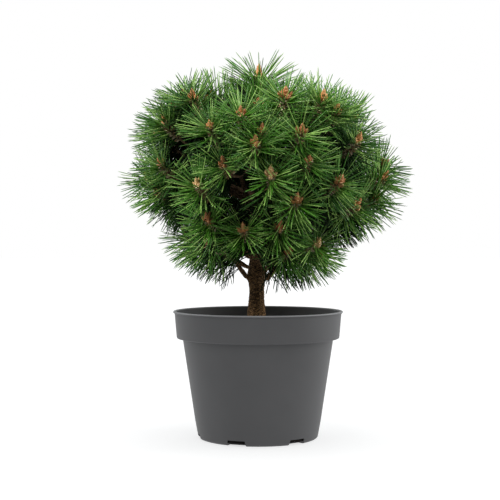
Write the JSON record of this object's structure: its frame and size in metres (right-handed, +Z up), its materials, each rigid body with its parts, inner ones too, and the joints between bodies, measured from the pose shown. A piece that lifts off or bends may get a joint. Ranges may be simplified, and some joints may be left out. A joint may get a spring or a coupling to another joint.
{
  "type": "potted mugo pine",
  "caption": "Dwarf mugo pine with a short bare trunk and a rounded crown of needle brushes and bud clusters, in a tapered round nursery pot with a collar, a thin lip and drain slots.",
  "frame": {"origin": "middle of the pot's flat underside", "axes": "+Z up along the pot's axis, -Y to the front, +X to the right"},
  "size_m": [0.3356, 0.3354, 0.4355],
  "materials": {
    "pot": "dark grey moulded polypropylene, satin",
    "potting_mix": "dark damp bark and peat, matt",
    "bark": "grey-brown scaly bark, rough",
    "needles": "mid to dark green needles, slightly glossy"
  },
  "bodies": {
    "root": {"pot": "pot", "potting_mix": "potting_mix", "trunk": "bark", "bough_fourth_1": "bark", "bough_fourth_2": "bark", "bough_fourth_3": "bark", "bough_fourth_4": "bark", "bough_fourth_5": "bark", "bough_fourth_6": "bark", "bough_low_1": "bark", "bough_low_2": "bark", "bough_low_3": "bark", "bough_low_4": "bark", "bough_low_5": "bark", "bough_low_6": "bark", "bough_second_1": "bark", "bough_second_2": "bark", "bough_second_3": "bark", "bough_second_4": "bark", "bough_second_5": "bark", "bough_second_6": "bark", "bough_third_1": "bark", "bough_third_2": "bark", "bough_third_3": "bark", "bough_third_4": "bark", "bough_third_5": "bark", "bough_third_6": "bark", "bough_third_7": "bark", "needles_fourth_1": "needles", "needles_fourth_2": "needles", "needles_fourth_3": "needles", "needles_fourth_4": "needles", "needles_fourth_5": "needles", "needles_fourth_6": "needles", "needles_leader": "needles", "needles_low_1": "needles", "needles_low_2": "needles", "needles_low_3": "needles", "needles_low_4": "needles", "needles_low_5": "needles", "needles_low_6": "needles", "needles_second_1": "needles", "needles_second_2": "needles", "needles_second_3": "needles", "needles_second_4": "needles", "needles_second_5": "needles", "needles_second_6": "needles", "needles_third_1": "needles", "needles_third_2": "needles", "needles_third_3": "needles", "needles_third_4": "needles", "needles_third_5": "needles", "needles_third_6": "needles", "needles_third_7": "needles", "needles_top_1": "needles", "needles_top_2": "needles", "needles_top_3": "needles", "needles_top_4": "needles"}
  },
  "joints": []
}
